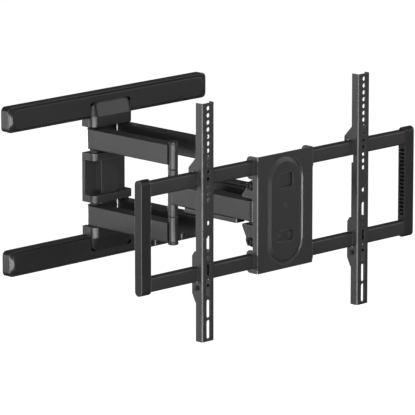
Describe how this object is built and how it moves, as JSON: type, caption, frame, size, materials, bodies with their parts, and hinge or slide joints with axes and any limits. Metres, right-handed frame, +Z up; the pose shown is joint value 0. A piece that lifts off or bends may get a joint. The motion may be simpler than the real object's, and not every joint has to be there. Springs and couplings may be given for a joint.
{
  "type": "full motion tv wall mount",
  "caption": "Folding-arm wall mount for a flat screen, with a tilting head, a levelling centre plate, a tubular frame and sliding slotted rails.",
  "frame": {"origin": "on the wall plane, at the middle of the centre column and halfway between the wall rails", "axes": "+X along the wall to the right as seen from the room, +Y into the wall, +Z up"},
  "size_m": [0.693, 0.4726, 0.425],
  "materials": {
    "coated_steel": "fine matt powder coat",
    "bare_steel": "satin",
    "moulded_plastic": "fine satin grain",
    "grip_plastic": "matt"
  },
  "bodies": {
    "wall_plate": {"wall_rail_upper": "coated_steel", "wall_rail_lower": "coated_steel", "rail_cover_upper": "moulded_plastic", "rail_cover_lower": "moulded_plastic", "centre_column": "coated_steel", "mid_bracket": "coated_steel", "upper_bracket": "coated_steel", "lower_bracket": "coated_steel", "upper_hood": "moulded_plastic", "lower_hood": "moulded_plastic", "cable_clip_near": "moulded_plastic", "cable_clip_far": "moulded_plastic", "wall_pin_left_upper": "bare_steel", "wall_pin_left_lower": "bare_steel", "wall_pin_right_upper": "bare_steel", "wall_pin_right_lower": "bare_steel"},
    "first_arm_left": {"arm_left_upper": "coated_steel", "arm_left_lower": "coated_steel", "elbow_knuckle_left_upper": "coated_steel", "elbow_knuckle_left_lower": "coated_steel", "elbow_cap_left_upper": "moulded_plastic", "elbow_cap_left_lower": "moulded_plastic", "elbow_pin_left": "bare_steel"},
    "second_arm_left": {"forearm_left": "coated_steel", "elbow_knuckle_left_middle": "coated_steel", "cable_cover_left": "moulded_plastic"},
    "first_arm_right": {"arm_right_upper": "coated_steel", "arm_right_lower": "coated_steel", "elbow_knuckle_right_upper": "coated_steel", "elbow_knuckle_right_lower": "coated_steel", "elbow_cap_right_upper": "moulded_plastic", "elbow_cap_right_lower": "moulded_plastic", "elbow_pin_right": "bare_steel"},
    "second_arm_right": {"forearm_right": "coated_steel", "elbow_knuckle_right_middle": "coated_steel", "cable_cover_right": "moulded_plastic"},
    "head": {"head_yoke": "coated_steel", "head_pin_left": "bare_steel", "head_pin_right": "bare_steel"},
    "tilt_carrier": {"tilt_bracket": "coated_steel", "roll_stud": "coated_steel", "level_screw_left": "coated_steel", "level_screw_right": "coated_steel"},
    "screen_frame": {"centre_plate": "coated_steel", "frame_tube_upper": "coated_steel", "frame_tube_lower": "coated_steel", "end_cap_left": "moulded_plastic", "end_cap_right": "moulded_plastic"},
    "rail_left": {"screen_rail_left": "coated_steel"},
    "rail_lock_left": {"lock_screw_left": "bare_steel"},
    "grip_left_upper": {"tilt_knob_left_upper": "grip_plastic"},
    "grip_left_lower": {"tilt_knob_left_lower": "grip_plastic"},
    "rail_right": {"screen_rail_right": "coated_steel"},
    "rail_lock_right": {"lock_screw_right": "bare_steel"},
    "grip_right_upper": {"tilt_knob_right_upper": "grip_plastic"},
    "grip_right_lower": {"tilt_knob_right_lower": "grip_plastic"}
  },
  "joints": [
    {"name": "left_arm_swing", "type": "hinge", "parent": "wall_plate", "child": "first_arm_left", "pos_m": [-0.0375, -0.0191, 0], "axis": [0, 0, 1], "range_deg": [-80, 0]},
    {"name": "left_elbow", "type": "hinge", "parent": "first_arm_left", "child": "second_arm_left", "pos_m": [-0.0375, -0.2241, 0], "axis": [0, 0, 1], "range_deg": [0, 160]},
    {"name": "left_head_swing", "type": "hinge", "parent": "second_arm_left", "child": "head", "pos_m": [-0.0375, -0.4291, 0], "axis": [0, 0, 1], "range_deg": [-80, 0]},
    {"name": "right_arm_swing", "type": "hinge", "parent": "wall_plate", "child": "first_arm_right", "pos_m": [0.0375, -0.0191, 0], "axis": [0, 0, 1], "range_deg": [0, 80]},
    {"name": "right_elbow", "type": "hinge", "parent": "first_arm_right", "child": "second_arm_right", "pos_m": [0.0375, -0.2241, 0], "axis": [0, 0, 1], "range_deg": [-160, 0]},
    {"name": "tilt", "type": "hinge", "parent": "head", "child": "tilt_carrier", "pos_m": [0, -0.4371, 0.047], "axis": [1, 0, 0], "range_deg": [-5, 10]},
    {"name": "level", "type": "hinge", "parent": "tilt_carrier", "child": "screen_frame", "pos_m": [0, -0.4686, 0.01], "axis": [0, 1, 0], "range_deg": [-3, 3]},
    {"name": "rail_slide_left", "type": "slide", "parent": "screen_frame", "child": "rail_left", "axis": [1, 0, 0], "range_m": [-0.1, 0.1]},
    {"name": "rail_lock_turn_left", "type": "hinge", "parent": "rail_left", "child": "rail_lock_left", "pos_m": [-0.1955, -0.4596, -0.108], "axis": [1, 0, 0], "range_deg": [-180, 180]},
    {"name": "grip_turn_left_upper", "type": "hinge", "parent": "head", "child": "grip_left_upper", "pos_m": [-0.056, -0.4371, 0.047], "axis": [1, 0, 0], "range_deg": [-180, 180]},
    {"name": "grip_turn_left_lower", "type": "hinge", "parent": "head", "child": "grip_left_lower", "pos_m": [-0.056, -0.4371, -0.054], "axis": [1, 0, 0], "range_deg": [-180, 180]},
    {"name": "rail_slide_right", "type": "slide", "parent": "screen_frame", "child": "rail_right", "axis": [1, 0, 0], "range_m": [-0.1, 0.1]},
    {"name": "rail_lock_turn_right", "type": "hinge", "parent": "rail_right", "child": "rail_lock_right", "pos_m": [0.2, -0.4596, -0.108], "axis": [1, 0, 0], "range_deg": [-180, 180]},
    {"name": "grip_turn_right_upper", "type": "hinge", "parent": "head", "child": "grip_right_upper", "pos_m": [0.056, -0.4371, 0.047], "axis": [1, 0, 0], "range_deg": [-180, 180]},
    {"name": "grip_turn_right_lower", "type": "hinge", "parent": "head", "child": "grip_right_lower", "pos_m": [0.056, -0.4371, -0.054], "axis": [1, 0, 0], "range_deg": [-180, 180]}
  ],
  "couplings": [
    {"joint": "left_elbow", "follows": "left_arm_swing", "ratio": -2},
    {"joint": "left_head_swing", "follows": "left_arm_swing", "ratio": 1},
    {"joint": "right_arm_swing", "follows": "left_arm_swing", "ratio": -1},
    {"joint": "right_elbow", "follows": "left_arm_swing", "ratio": 2}
  ]
}
